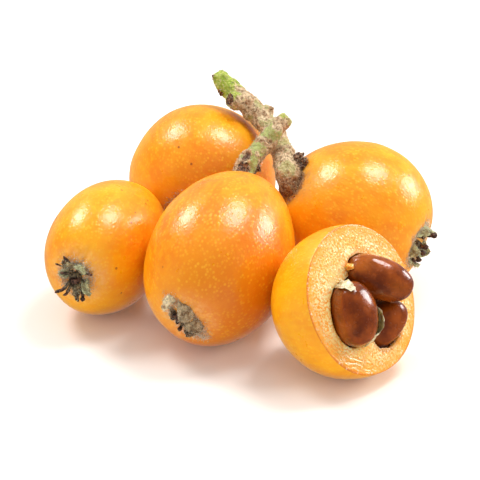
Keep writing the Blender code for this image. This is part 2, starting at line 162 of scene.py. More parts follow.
# Stalks. route, stubs: (x, y, z, radius) along each middle line, in the CAD source's layout coordinates, in
# which the frame's origin is MIDDLE; cap: how round the route's end is; scars: (place, direction that the
# scar faces, radius); lumps: dried bracts, (x, y, z, radius); colours: where brown turns to tan and tan to
# green along the route, and the share of green patches; hairs: how many.
MIDDLE = np.array((1.8, 17.6, 0.0))
STALKS = {
    "long": dict(
        piece="stalk_back_right", node="stem_back_right", cap=0.85, colours=(0.24, 0.72, 0.45), seed=11,
        hairs=3800,
        route=((15.8, 23.8, 26.8, 2.6), (13.9, 22.9, 31.0, 3.5), (12.8, 25.8, 34.2, 3.2),
               (12.0, 34.6, 34.9, 3.0), (10.6, 41.2, 36.3, 2.9), (6.6, 48.6, 39.0, 3.1),
               (2.4, 52.8, 42.1, 3.1), (-1.8, 55.2, 45.0, 2.9), (-4.2, 56.8, 46.9, 2.9),
               (-5.3, 57.6, 48.1, 2.7)),
        stubs=(((1.6, 53.0, 42.9, 2.5), (-1.0, 50.9, 44.2, 2.4), (-2.9, 49.6, 44.9, 2.2)),
               ((7.0, 49.6, 39.8, 2.0), (7.9, 50.5, 41.4, 1.8), (8.4, 51.0, 42.4, 1.4))),
        scars=(((-3.4, 49.2, 45.1), (-0.75, -0.6, 0.25), 2.5), ((8.5, 51.1, 42.9), (0.5, 0.2, 0.85), 1.2)),
        lumps=((16.0, 27.0, 36.8, 1.4), (17.6, 26.0, 36.0, 0.9), (16.4, 25.4, 34.8, 1.3),
               (16.9, 24.6, 32.8, 1.4), (16.6, 22.6, 31.2, 1.2), (-7.4, 57.0, 48.8, 0.5),
               (-5.4, 54.9, 45.4, 0.8)),
    ),
    "short": dict(
        piece="stalk_front", node="stem_front", cap=0.7, colours=(0.20, 0.90, 0.9), seed=23, hairs=2200,
        route=((3.4, 21.0, 27.0, 3.4), (1.2, 25.2, 31.2, 3.3), (2.0, 27.6, 34.2, 2.9), (4.6, 29.8, 37.2, 2.7),
               (8.2, 32.4, 40.6, 2.6), (10.8, 34.4, 43.4, 2.5), (12.0, 35.3, 44.5, 2.2)),
        stubs=(((1.8, 26.6, 33.0, 2.0), (0.9, 24.6, 34.6, 1.8)),
               ((3.0, 28.6, 35.6, 1.8), (1.8, 27.4, 37.0, 1.5))),
        scars=(((0.6, 24.2, 34.9), (-0.3, -0.85, 0.45), 2.4), ((1.5, 27.0, 37.4), (-0.5, -0.6, 0.6), 1.9)),
        lumps=((4.8, 27.2, 33.6, 1.1),),
    ),
    "stub": dict(
        piece="stalk_back_left", node="stem_back_left", cap=0.3, colours=(0.30, 1.5, 0.4), seed=37, hairs=500,
        stubs=(), lumps=(),
    ),
}
# The stub's route on the back-left fruit: (height over the stem end, radius); the radius of its end's scar.
BACK_STUB = ((-1.5, 2.9), (1.75, 2.5), (4.4, 2.3), (5.0, 1.7))
BACK_SCAR = 1.7
BALL_AXIS = (0.2, -0.5, 0.84)       # axis of each lump's ball
VOXEL = 0.30                        # grain of the mesh that a stalk and its stubs melt into

# Camera: a point near the cluster's middle, the camera's angle above it and distance from it, and how far
# over that point it aims.
VIEW_TARGET = Vector((-1.8, -17.6, 20.0))
VIEW_ELEVATION = 25.9
VIEW_DISTANCE = 505.4
VIEW_RISE = 4.47
LENS = 144.0
SENSOR = 36.0

# Lights: (name, direction from the cluster, size, power, whether glossy surfaces mirror it).
LIGHTS = (
    ("left_softbox", (-0.50, 0.36, 0.78), 0.34, 4.2, True),
    ("top_softbox", (0.36, 0.22, 0.90), 0.36, 4.4, True),
    ("right_softbox", (0.86, 0.36, 0.36), 0.36, 4.0, True),
    ("left_fill", (-0.85, -0.45, 0.22), 0.55, 1.6, False),
    ("right_fill", (0.90, -0.50, 0.35), 0.40, 1.0, False),
)
LIGHT_DISTANCE = 0.9
LIGHT_AIM = Vector((0.0, 0.0, 0.02))
# Brightness of the room: low down and overhead; and as glossy surfaces mirror it, in front and behind.
ROOM_LOW, ROOM_HIGH = 0.30, 0.80
MIRRORED_FRONT, MIRRORED_BACK = 0.12, 0.45
FLOOR_SIZE = 4.0                    # from its middle to each side
FLOOR_DROP = 0.0001                 # how far it lies below the cluster
FLOOR_GLOW = 0.05


# ---------------------------------------------------------------- mesh helpers

def waves(points, size, seed, count=10):
    """Smooth noise between about -1 and 1, whose features are about size wide."""
    rng = np.random.default_rng(seed)
    directions = rng.normal(size=(count, 3))
    directions /= np.linalg.norm(directions, axis=1)[:, None]
    rates = 2.0 * math.pi / size * rng.uniform(0.6, 1.5, count)
    phases = rng.uniform(0.0, 2.0 * math.pi, count)
    return np.sin(points @ (directions * rates[:, None]).T + phases).sum(-1) / math.sqrt(count)


def shake(points, size, seed):
    """A push for each point: one wave along each axis."""
    return np.stack([waves(points, size, seed + k) for k in range(3)], -1)


def unit(vectors):
    return vectors / np.linalg.norm(vectors, axis=-1, keepdims=True)


def hump(x):
    """1 at 0, and almost nothing beyond 2."""
    return np.exp(-(x ** 2))


def round_angles(count):
    """Angles of count spokes round an axis."""
    return np.linspace(0.0, 2.0 * math.pi, count, endpoint=False)


def ball_angles(rings, segments, end):
    """Angle from the pole and round the axis of each point of a ball, whose end rings have the angle end."""
    return np.meshgrid(np.linspace(end, math.pi - end, rings), -round_angles(segments), indexing="ij")


def tube_faces(rows, columns, start=0):
    """Quads between neighbouring rings of vertices, and a face at both ends."""
    faces = []
    for a in range(start, start + (rows - 1) * columns, columns):
        b = a + columns
        for j in range(columns):
            k = (j + 1) % columns
            faces.append((a + j, a + k, b + k, b + j))
    faces.append(tuple(range(start, start + columns))[::-1])
    faces.append(tuple(range(start + (rows - 1) * columns, start + rows * columns)))
    return faces


def add_object(name, data):
    made = bpy.data.objects.new(name, data)
    bpy.context.scene.collection.objects.link(made)
    return made


def new_object(name, points, faces, place, materials, face_slots=None, uv=None):
    """An object from points in millimetres in the frame place, whose translation is in millimetres too."""
    mesh = bpy.data.meshes.new(name)
    mesh.from_pydata((np.asarray(points, float) * MM).tolist(), [], faces)
    for item in materials:
        mesh.materials.append(item)
    if face_slots is not None:
        mesh.polygons.foreach_set("material_index", face_slots)
    if uv is not None:
        set_uv(mesh, uv)
    mesh.shade_smooth()
    mesh.update()
    made = add_object(name, mesh)
    world = place.copy()
    world.translation *= MM
    made.matrix_world = world
    return made


def set_uv(mesh, uv):
    """A UV layer from one (U, V) for each vertex."""
    layer = mesh.uv_layers.new(name="UVMap")
    corners = np.empty(len(mesh.loops), dtype=np.int32)
    mesh.loops.foreach_get("vertex_index", corners)
    layer.data.foreach_set("uv", np.asarray(uv, np.float32)[corners].ravel())


def numbers_of(items, attribute):
    """A three-number attribute of each item of a mesh, as rows."""
    values = np.empty(len(items) * 3)
    items.foreach_get(attribute, values)
    return values.reshape(-1, 3)


def attach(piece, slot, *nodes):
    """The piece rides on the cluster and stands for these CAD nodes, which it hides; slot is not used."""
    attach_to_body(piece, "root")
    if nodes:
        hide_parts(*nodes)
    return piece


def smooth_route(points, count):
    """Catmull-Rom curve through rows of numbers, read at count places."""
    rows = np.asarray(points, float)
    rows = np.vstack([2.0 * rows[0] - rows[1], rows, 2.0 * rows[-1] - rows[-2]])
    spans = len(rows) - 3
    places = np.linspace(0.0, spans - 1e-6, count)
    first = places.astype(int)
    t = (places - first)[:, None]
    a, b, c, d = (rows[first + k] for k in range(4))
    return 0.5 * (2.0 * b + (c - a) * t + (2.0 * a - 5.0 * b + 4.0 * c - d) * t ** 2
                  + (3.0 * b - a - 3.0 * c + d) * t ** 3)


def tube_rings(middles, widths, segments, depths=None, normal=(0.0, 0.0, 1.0)):
    """Rings round a line: half widths along the side level with normal, half depths towards normal."""
    middles = np.asarray(middles, float)
    depths = widths if depths is None else depths
    runs = unit(np.gradient(middles, axis=0))
    side = np.cross(runs[0], np.asarray(normal, float))
    spokes = round_angles(segments)
    rings = []
    for middle, run, width, depth in zip(middles, runs, widths, depths):
        side = unit(side - run * (side @ run))
        other = np.cross(run, side)
        across = np.outer(np.cos(spokes), side) * width
        rings.append(middle + across + np.outer(np.sin(spokes), other) * depth)
    return np.array(rings)


def join_tubes(tubes):
    """Points, faces and UVs of several closed tubes; U runs across each tube and V along it."""
    points, faces, uvs, start = [], [], [], 0
    for rings in tubes:
        rows, columns = rings.shape[:2]
        faces += tube_faces(rows, columns, start)
        points.append(rings.reshape(-1, 3))
        across = 0.5 + 0.5 * np.cos(round_angles(columns))
        u, v = np.meshgrid(across, np.linspace(0.0, 1.0, rows))
        uvs.append(np.stack([u, v], -1).reshape(-1, 2))
        start += rows * columns
    return np.concatenate(points), faces, np.concatenate(uvs)


def tube_piece(name, rings, place, material, slot, *nodes):
    """A piece from the rings of one closed tube."""
    rows, columns = rings.shape[:2]
    piece = new_object(name, rings.reshape(-1, 3), tube_faces(rows, columns), place, [material])
    return attach(piece, slot, *nodes)


def wool(name, host, slot, material, count, lengths, seed, lean, keep=None):
    """Short tapered hairs on random faces of host; lean splays them, keep weighs faces by their centres."""
    polygons = host.data.polygons
    centres, normals = numbers_of(polygons, "center") / MM, numbers_of(polygons, "normal")
    areas = np.empty(len(polygons))
    polygons.foreach_get("area", areas)
    weights = areas if keep is None else areas * keep(centres)
    rng = np.random.default_rng(seed)
    picks = rng.choice(len(polygons), size=count, p=weights / weights.sum())
    roots = centres[picks] + rng.normal(scale=0.08, size=(count, 3)) - normals[picks] * 0.1
    aims = unit(normals[picks] + rng.normal(scale=lean, size=(count, 3)))
    bends = unit(aims + rng.normal(scale=lean, size=(count, 3)))
    sizes = rng.uniform(*lengths, count)[:, None]
    side = unit(np.cross(aims, rng.normal(size=(count, 3))))
    other = np.cross(aims, side)
    middles = roots + aims * sizes * 0.5
    tips = middles + bends * sizes * 0.5
    corners = [(side * math.cos(turn) + other * math.sin(turn)) * HAIR for turn in round_angles(3)]
    points = np.stack([roots + c for c in corners] + [middles + c * 0.7 for c in corners] + [tips], 1)
    faces = []
    for k in range(count):
        s = 7 * k
        faces += [(s + 2, s + 1, s)]
        for a, b in ((s, s + 1), (s + 1, s + 2), (s + 2, s)):
            faces += [(a, b, b + 3, a + 3), (a + 3, b + 3, s + 6)]
    place = host.matrix_world.copy()
    place.translation /= MM
    piece = new_object(name, points.reshape(-1, 3), faces, place, [material])
    return attach(piece, slot)


# ---------------------------------------------------------------- node helpers

class Nodes:
    """Short calls for building one material's node tree."""

    def __init__(self, name):
        self.material = bpy.data.materials.new(name)
        self.material.use_nodes = True
        self.tree = self.material.node_tree
        self.shader = self.tree.nodes["Principled BSDF"]

    def node(self, kind, **settings):
        made = self.tree.nodes.new(kind)
        for key, value in settings.items():
            setattr(made, key, value)
        return made

    def link(self, output, target):
        self.tree.links.new(output, target)

    def put(self, node, socket, value):
        """Links value if it is a socket, else sets it."""
        if isinstance(value, bpy.types.NodeSocket):
            self.link(value, node.inputs[socket])
        else:
            node.inputs[socket].default_value = value

    def make(self, kind, output, sockets, **settings):
        """A node whose sockets, by name or number, are linked or set; gives one of its outputs."""
        made = self.node(kind, **settings)
        for socket, value in sockets.items():
            self.put(made, socket, value)
        return made.outputs[output]

    def coordinates(self, offset=(0.0, 0.0, 0.0), scale=(1.0, 1.0, 1.0)):
        source = self.node("ShaderNodeTexCoord").outputs["Object"]
        sockets = {"Vector": source, "Location": offset, "Scale": scale}
        return self.make("ShaderNodeMapping", "Vector", sockets)

    def noise(self, vector, scale, detail=2.0, rough=0.5, warp=0.0):
        sockets = {"Vector": vector, "Scale": scale, "Detail": detail, "Roughness": rough, "Distortion": warp}
        return self.make("ShaderNodeTexNoise", "Fac", sockets)

    def cells(self, vector, scale, output="Distance"):
        return self.make("ShaderNodeTexVoronoi", output, {"Vector": vector, "Scale": scale})

    def math(self, operation, a, b=0.0, c=0.0, clamp=False):
        sockets = {0: a, 1: b, 2: c}
        return self.make("ShaderNodeMath", "Value", sockets, operation=operation, use_clamp=clamp)

    def line(self, value, slope, start):
        """value times slope, plus start."""
        return self.math("MULTIPLY_ADD", value, slope, start)

    def times(self, *values):
        """Product of sockets and numbers."""
        result = values[0]
        for value in values[1:]:
            result = self.math("MULTIPLY", result, value)
        return result

    def span(self, value, low, high, out_low=0.0, out_high=1.0, shape="SMOOTHSTEP"):
        """Smooth or linear step of value from low to high."""
        sockets = {"Value": value, "From Min": low, "From Max": high, "To Min": out_low, "To Max": out_high}
        return self.make("ShaderNodeMapRange", "Result", sockets, interpolation_type=shape)

    def mix(self, share, first, second):
        """Mixes two colours, each a socket or a tuple of red, green and blue."""
        first, second = ((*v, 1.0) if isinstance(v, tuple) else v for v in (first, second))
        return self.make("ShaderNodeMix", 2, {"Factor": share, 6: first, 7: second}, data_type="RGBA")

    def bump(self, height, strength, distance, under=None):
        sockets = {"Height": height, "Strength": strength, "Distance": distance}
        if under is not None:
            sockets["Normal"] = under
        return self.make("ShaderNodeBump", "Normal", sockets)

    def axes(self, vector):
        made = self.node("ShaderNodeSeparateXYZ")
        self.link(vector, made.inputs["Vector"])
        return made.outputs["X"], made.outputs["Y"], made.outputs["Z"]

    def from_axis(self, x, y):
        """Distance from the object's Z axis."""
        squares = self.math("ADD", self.math("MULTIPLY", x, x), self.math("MULTIPLY", y, y))
        return self.math("SQRT", squares)

    def facing(self, vector, direction):
        """1 where vector points along direction, -1 where it points against it."""
        along = self.make("ShaderNodeVectorMath", "Vector", {0: vector}, operation="NORMALIZE")
        return self.make("ShaderNodeVectorMath", "Value", {0: along, 1: direction}, operation="DOT_PRODUCT")

    def uv(self):
        return self.axes(self.node("ShaderNodeUVMap", uv_map="UVMap").outputs["UV"])

    def glow(self, weight, radius):
        """Lets light travel inside the material, this far in red, green and blue."""
        self.fix(Subsurface_Weight=weight, Subsurface_Radius=radius, Subsurface_Scale=1.0)

    def fix(self, **fixed):
        """Sets values on the shader's own sockets."""
        for key, value in fixed.items():
            self.shader.inputs[key.replace("_", " ")].default_value = value

    def finish(self, colour, roughness, normal=None, **fixed):
        """Connects the shader, sets its fixed values and gives the material."""
        self.put(self.shader, "Base Color", (*colour, 1.0) if isinstance(colour, tuple) else colour)
        self.put(self.shader, "Roughness", roughness)
        if normal is not None:
            self.link(normal, self.shader.inputs["Normal"])
        self.fix(**fixed)
        return self.material


class RoomNodes(Nodes):
    """The same short calls for the world's node tree."""

    def __init__(self, world):
        self.tree = world.node_tree


# ---------------------------------------------------------------- materials

def spotted(n, colour, shifted, pebbles):
    """Yellow dots in uneven patches, and a few brown specks."""
    patches = n.span(n.noise(shifted, 160.0, 2.0), 0.30, 0.66)
    dot = n.times(n.span(pebbles, 0.50, 0.14), n.line(patches, 0.40, 0.12))
    colour = n.mix(dot, colour, (1.0, 0.56, 0.03))
    chosen = n.axes(n.cells(shifted, 190.0, "Color"))[0]
    speck = n.times(n.span(n.cells(shifted, 190.0), 0.085, 0.050), n.span(chosen, 0.66, 0.70))
    return n.mix(n.times(speck, 0.8), colour, (0.34, 0.07, 0.01))


def felted(n, colour, shifted, local, foot):
    """Pale felt at the calyx and a darker brown round the stalk's foot; also gives the first's share."""
    x, y, z = n.axes(local)
    fuzz = n.span(n.noise(shifted, 800.0, 3.0, 0.7), 0.32, 0.70)
    calyx_side = n.times(n.span(n.from_axis(x, y), 0.0105, 0.0045), n.span(z, 0.0, -0.010))
    near_calyx = n.math("MULTIPLY", calyx_side, n.line(fuzz, 0.50, 0.12), clamp=True)
    colour = n.mix(near_calyx, colour, (0.97, 0.56, 0.20))
    away = n.from_axis(n.math("SUBTRACT", x, foot[0] * MM), n.math("SUBTRACT", y, foot[1] * MM))
    # Darker brown on the skin round the stalk's foot.
    stem_side = n.times(n.span(away, 0.0085, 0.003), n.span(z, 0.0, 0.010))
    near_stem = n.math("MULTIPLY", stem_side, n.line(fuzz, 0.6, 0.25), clamp=True)
    return n.mix(near_stem, colour, (0.62, 0.32, 0.10)), near_calyx


def skin_material(name, seed, side, foot):
    """Ripe skin: blotched orange, darkened towards side with painted shade, with dots, specks, and felt at
    its ends.
    """
    deep, bright, yellow = SKIN_TINTS[name]
    n = Nodes("skin_" + name)
    local = n.coordinates()
    shifted = n.coordinates(offset=(seed * 0.13, seed * 0.07, seed * 0.05))
    blotch = n.span(n.noise(shifted, 60.0, 3.0, 0.6), 0.34, 0.66)
    lengthwise = n.coordinates(offset=(seed, 0.0, 0.0), scale=(1.0, 1.0, 0.3))
    mottle = n.span(n.noise(lengthwise, 520.0, 3.0, 0.65), 0.40, 0.70)
    colour = n.mix(n.times(mottle, 0.40), n.mix(blotch, deep, bright), yellow)
    # Painted shade: the front side, towards side, is darkened to a deeper orange.
    painted_shade = n.span(n.facing(local, side), 0.35, 1.0)
    colour = n.mix(n.times(painted_shade, PAINTED_SHADE_SHARE[name]), colour, (0.76, 0.19, 0.001))
    pebbles = n.cells(n.coordinates(offset=(seed, 0.0, 0.0), scale=(1.0, 1.0, 0.75)), 1080.0)
    colour = spotted(n, colour, shifted, pebbles)
    colour, felt = felted(n, colour, shifted, local, foot)
    rough = n.line(n.noise(shifted, 300.0, 3.0), 0.13, 0.235)
    rough = n.math("ADD", rough, n.times(felt, 0.25))
    pits = n.math("ADD", n.times(n.span(pebbles, 0.5, 0.1), 0.6), n.noise(shifted, 1100.0, 3.0))
    normal = n.bump(pits, 0.22, 0.00025)
    normal = n.bump(n.noise(shifted, 230.0, 2.0), 0.25, 0.0006, normal)
    n.glow(0.08, (0.003, 0.001, 0.0003))
    return n.finish(colour, rough, normal, Specular_IOR_Level=0.75, Specular_Tint=(1.0, 0.94, 0.86, 1.0))


def flesh_material():
    """Wet cut flesh: cream with orange flecks, deeper at the skin, brown with painted shade in the hollow (U:
    juice stain and painted shade near it).
    """
    n = Nodes("cut_flesh")
    local = n.coordinates()
    x, y, z = n.axes(local)
    away = n.from_axis(x, y)
    juice_and_shade = n.uv()[0]
    pale = n.mix(n.span(n.noise(local, 140.0, 2.0), 0.35, 0.65), (1.0, 0.62, 0.17), (1.0, 0.82, 0.40))
    flecks = n.span(n.noise(local, 1500.0, 3.0, 0.65), 0.45, 0.57)
    patch = n.span(n.noise(local, 230.0, 2.0), 0.30, 0.62)
    outer = n.span(away, 0.0100, 0.0165, 0.0, 0.55)
    share = n.math("ADD", n.line(patch, 0.50, 0.36), outer)
    colour = n.mix(n.math("MULTIPLY", flecks, share, clamp=True), pale, (0.96, 0.34, 0.02))
    colour = n.mix(n.times(n.span(away, 0.0145, 0.0190), 0.75), colour, (0.95, 0.36, 0.02))
    colour = n.mix(n.times(n.span(away, 0.0184, 0.0191), 0.8), colour, (0.70, 0.18, 0.012))
    # Juice stain and painted shade: the flesh at the hollows' edges is darkened to orange-brown.
    wet_and_shade = n.math("ADD", juice_and_shade, n.line(flecks, 0.3, -0.2))
    colour = n.mix(n.times(n.span(wet_and_shade, 0.1, 0.9), 0.7), colour, (0.66, 0.22, 0.015))
    # Painted shade: the hollows below the cut are darkened to a near-black brown, over their brown lining.
    hollow_and_shade = n.span(z, CUT_HEIGHT * MM - 0.0004, CUT_HEIGHT * MM - 0.0012)
    colour = n.mix(n.times(hollow_and_shade, 0.95), colour, (0.10, 0.022, 0.006))
    grain = n.noise(local, 1500.0, 3.0, 0.6)
    beads_and_glints = n.span(n.cells(local, 1300.0), 0.5, 0.15)
    glint_patches = n.span(n.noise(local, 400.0, 2.0), 0.42, 0.62)
    # Painted highlights: whitish glints on the flesh's beads, in patches; the beads also give bumps.
    colour = n.mix(n.times(beads_and_glints, glint_patches, 0.5), colour, (1.0, 0.92, 0.66))
    rough = n.line(n.span(grain, 0.35, 0.65), 0.25, 0.12)
    normal = n.bump(n.math("ADD", grain, n.times(beads_and_glints, 0.5)), 0.40, 0.00025)
    n.glow(0.20, (0.003, 0.0015, 0.0007))
    return n.finish(colour, rough, normal, Coat_Weight=0.4, Coat_Roughness=0.18)


def seed_material(name, seed):
    """Wet seed coat: chestnut brown with darker clouds and amber where it is thin."""
    n = Nodes(name)
    local = n.coordinates(offset=(seed * 0.31, seed * 0.17, 0.0))
    cloud = n.span(n.noise(local, 170.0, 4.0, 0.6), 0.3, 0.7)
    colour = n.mix(cloud, (0.13, 0.020, 0.002), (0.34, 0.066, 0.004))
    amber = n.span(n.noise(local, 95.0, 1.0), 0.50, 0.75)
    colour = n.mix(n.times(amber, 0.5), colour, (0.52, 0.14, 0.008))
    streaks = n.span(n.noise(n.coordinates(scale=(1.0, 0.35, 1.0)), 900.0, 3.0, 0.6), 0.52, 0.70)
    colour = n.mix(n.times(streaks, 0.30), colour, (0.07, 0.014, 0.004))
    rough = n.line(n.noise(local, 700.0, 2.0), 0.18, 0.16)
    normal = n.bump(n.noise(local, 230.0, 3.0), 0.55, 0.0009)
    n.glow(0.05, (0.002, 0.0007, 0.0003))
    return n.finish(colour, rough, normal, Specular_IOR_Level=0.3, Coat_Weight=0.6, Coat_Roughness=0.07)


def membrane_material():
    n = Nodes("seed_skin")
    local = n.coordinates()
    veins = n.noise(local, 600.0, 3.0, 0.6, 0.8)
    colour = n.mix(n.span(veins, 0.35, 0.68), (0.50, 0.40, 0.20), (0.86, 0.76, 0.50))
    rust = n.span(n.noise(local, 260.0, 2.0), 0.56, 0.66)
    colour = n.mix(n.times(rust, 0.7), colour, (0.40, 0.14, 0.03))
    normal = n.bump(veins, 0.6, 0.0004)
    n.glow(0.1, (0.001, 0.001, 0.0005))
    return n.finish(colour, 0.34, normal, Coat_Weight=0.3, Coat_Roughness=0.15)


def pulp_material():
    n = Nodes("torn_pulp")
    local = n.coordinates()
    colour = n.mix(n.span(n.noise(local, 800.0, 2.0), 0.35, 0.65), (0.85, 0.26, 0.02), (0.97, 0.48, 0.08))
    normal = n.bump(n.noise(local, 900.0, 2.0), 0.5, 0.0004)
    n.glow(0.4, (0.003, 0.001, 0.0004))
    return n.finish(colour, 0.18, normal, Coat_Weight=0.6, Coat_Roughness=0.08)


def stalk_material(name, tan_from, green_from, patches):
    """Woolly stalk: brown at the fruit, tan in the middle, fresh green at its tip (V runs along it)."""
    n = Nodes(name)
    local = n.coordinates()
    along = n.uv()[1]
    fibre = n.noise(local, 1150.0, 3.0, 0.7)
    patch = n.noise(local, 230.0, 3.0, 0.6)
    tan = n.mix(n.span(fibre, 0.34, 0.62), (0.22, 0.12, 0.050), (0.76, 0.57, 0.35))
    blush = n.span(n.noise(local, 420.0, 2.0), 0.50, 0.66)
    tan = n.mix(n.times(blush, 0.5), tan, (0.44, 0.19, 0.08))
    colour = n.mix(n.times(n.span(patch, 0.50, 0.60), patches), tan, (0.40, 0.46, 0.14))
    wander = n.math("ADD", along, n.line(patch, 0.36, -0.18))
    green = n.mix(n.span(fibre, 0.40, 0.72), (0.26, 0.36, 0.03), (0.62, 0.62, 0.15))
    colour = n.mix(n.span(wander, green_from, green_from + 0.08), colour, green)
    brown = n.mix(n.span(fibre, 0.38, 0.70), (0.09, 0.032, 0.010), (0.42, 0.24, 0.11))
    colour = n.mix(n.span(wander, tan_from, tan_from - 0.2), colour, brown)
    normal = n.bump(fibre, 0.8, 0.0005)
    normal = n.bump(patch, 0.5, 0.0008, normal)
    return n.finish(colour, 0.85, normal)


def scar_material():
    n = Nodes("leaf_scar")
    local = n.coordinates()
    crust = n.noise(local, 1400.0, 3.0, 0.7)
    colour = n.mix(n.span(crust, 0.38, 0.66), (0.028, 0.011, 0.005), (0.33, 0.15, 0.07))
    normal = n.bump(crust, 0.9, 0.0005)
    return n.finish(colour, 0.55, normal)


def sepal_material(name, wool_colour, dry):
    """Woolly sepal: felt over brown, and a dark dried strip along its middle and tip (U across, V along)."""
    n = Nodes(name)
    local = n.coordinates()
    across, along, _ = n.uv()
    fibre = n.noise(local, 1700.0, 3.0, 0.7)
    clumps = n.noise(local, 620.0, 3.0, 0.6)
    brown = tuple(v * share for v, share in zip(wool_colour, (0.30, 0.20, 0.14)))
    colour = n.mix(n.span(fibre, 0.34, 0.62), tuple(v * 0.5 for v in wool_colour), wool_colour)
    colour = n.mix(n.times(n.span(clumps, 0.44, 0.62), 0.8), colour, brown)
    side = n.math("ABSOLUTE", n.math("SUBTRACT", across, 0.5))
    edge = n.math("ADD", side, n.line(fibre, 0.16, -0.08))
    strip = n.times(n.span(edge, 0.22, 0.08), n.span(along, 0.25, 0.5))
    tip = n.span(n.math("ADD", along, n.line(fibre, 0.2, -0.1)), 0.74, 0.95)
    dark = n.mix(n.span(fibre, 0.4, 0.65), (0.022, 0.009, 0.005), (0.14, 0.055, 0.022))
    colour = n.mix(n.math("MULTIPLY", n.math("MAXIMUM", strip, tip), dry, clamp=True), colour, dark)
    return n.finish(colour, 0.9, n.bump(fibre, 0.9, 0.0005))


def stamen_material():
    """Dried threads: olive-grey stems and almost black knobs (V runs from foot to tip)."""
    n = Nodes("dried_stamens")
    local = n.coordinates()
    along = n.uv()[1]
    crust = n.noise(local, 1500.0, 3.0, 0.7)
    stem = n.mix(n.span(crust, 0.38, 0.64), (0.020, 0.011, 0.006), (0.24, 0.17, 0.09))
    knob = n.mix(n.span(crust, 0.38, 0.68), (0.014, 0.006, 0.004), (0.22, 0.10, 0.06))
    colour = n.mix(n.span(along, 0.55, 0.8), stem, knob)
    return n.finish(colour, 0.6, n.bump(crust, 0.8, 0.0004))


def wool_material(name, colour):
    n = Nodes(name)
    shade = tuple(v * 0.6 for v in colour)
    tint = n.mix(n.span(n.noise(n.coordinates(), 900.0, 1.0), 0.35, 0.65), colour, shade)
    return n.finish(tint, 0.8)


def floor_material():
    n = Nodes("studio_floor")
    return n.finish((0.92, 0.88, 0.84), 0.7, Specular_IOR_Level=0.1,
                    Emission_Color=(1.0, 0.94, 0.86, 1.0), Emission_Strength=FLOOR_GLOW)


# ---------------------------------------------------------------- fruit shapes

def rotation_of(fruit):
    """Turns the fruit's own frame into the cluster's."""
    turn = math.radians(fruit["turn"])
    lift = math.radians(fruit["lift"])
    level = math.cos(lift)
    axis = Vector((math.sin(turn) * level, math.cos(turn) * level, -math.sin(lift)))
    side = Vector((0.0, 0.0, 1.0)).cross(axis).normalized()
    rotation = Matrix((side, axis.cross(side), axis)).transposed()
    return rotation @ Matrix.Rotation(math.radians(fruit["roll"]), 3, "Z")


def outline(fruit, angles):
    """Distance from the axis and height of the plain body that the CAD has, without its ends' details."""
    radius = fruit["radius"] * np.sin(angles) * (1.0 + fruit["taper"] * np.cos(angles))
    height = -fruit["half_length"] * np.cos(angles)
    return radius, height


def place_of(name, fruit):
    """The fruit's frame: the CAD node's box holds the same body, so the boxes' upper corners agree."""
    angles, spokes = np.meshgrid(np.linspace(0.0, math.pi, 90), np.linspace(0.0, 2.0 * math.pi, 181))
    radius, height = outline(fruit, angles)
    if name == "half":
        height = np.minimum(height, CUT_HEIGHT)
    body = [radius * np.cos(spokes), radius * fruit["tall"] * np.sin(spokes), height]
    rotation = rotation_of(fruit)
    turned = np.stack(body, -1).reshape(-1, 3) @ np.array(rotation).T
    low, high = (np.array(corner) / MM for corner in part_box("fruit_" + name))
    middle = (low + high) / 2.0 - (turned.min(0) + turned.max(0)) / 2.0
    middle[2] = high[2] - turned[:, 2].max()
    return Matrix.Translation(Vector(middle)) @ rotation.to_4x4()


def calyx_relief(fruit, radius, spokes, seed):
    """Height added at the calyx end: its hollow and the folds of its rim."""
    depth, width = fruit["basin"]
    folds = np.cos(5.0 * spokes) + 0.6 * np.cos(11.0 * spokes + seed) + 0.4 * np.cos(17.0 * spokes)
    rim = 0.22 * folds * hump((radius - width) / 2.2)
    return depth * hump(radius / width) - rim


def stem_relief(fruit, radius, spokes, seed):
    """Height added at the stem end: its puckered neck."""
    rise, reach = fruit["neck"]
    puckers = 1.0 + 0.12 * np.cos(7.0 * spokes + seed)
    return rise * puckers * hump(radius / reach)


def skin_points(fruit, angles, spokes, seed):
    """Skin in the fruit's frame: the CAD's body with soft lobes, dents, and puckered ends."""
    radius, height = outline(fruit, angles)
    full = np.sin(angles) ** 2
    lobes = np.cos(5.0 * spokes + seed) + 0.45 * np.cos(3.0 * spokes + 2.0 * seed)
    radius = radius * (1.0 + fruit["lobes"] * lobes * full)
    flat = np.stack([radius * np.cos(spokes), radius * np.sin(spokes), height], -1)
    dent = waves(flat, 26.0, seed) * 0.10 + waves(flat, 9.0, seed + 50) * 0.035
    ends = np.where(angles < math.pi / 2.0, calyx_relief(fruit, radius, spokes, seed),
                    stem_relief(fruit, radius, spokes, seed))
    scale = 1.0 + dent * full / fruit["radius"]
    x = radius * np.cos(spokes) * scale
    y = radius * fruit["tall"] * np.sin(spokes) * scale
    points = np.stack([x, y, height + ends], -1)
    return stalk_pit(points) if fruit is FRUITS["back_right"] else points


def stalk_pit(points):
    """Sinks the skin, a little unevenly, round the foot of the long stalk."""
    away = np.linalg.norm(points - np.array(STALK_PIT["at"]), axis=-1) / STALK_PIT["reach"]
    sink = STALK_PIT["depth"] * hump(away) * (1.0 + 0.15 * waves(points, 3.5, 61))
    return points - unit(points) * sink[..., None]


def skin_height(fruit, distance):
    """Height of the calyx end at a distance from the axis, without the folds of its rim."""
    angles = np.linspace(0.0, math.pi / 2.0, 400)
    radius, height = outline(fruit, angles)
    depth, width = fruit["basin"]
    top = int(np.argmax(radius)) + 1
    heights = height + depth * hump(radius / width)
    return float(np.interp(distance, radius[:top], heights[:top]))


def rest_on_floor(points, place):
    """Flattens what would reach below the surface."""
    rotation = np.array(place.to_3x3())
    world = points @ rotation.T + np.array(place.translation)
    world[..., 2] = np.maximum(world[..., 2], 0.0)
    return (world - np.array(place.translation)) @ rotation


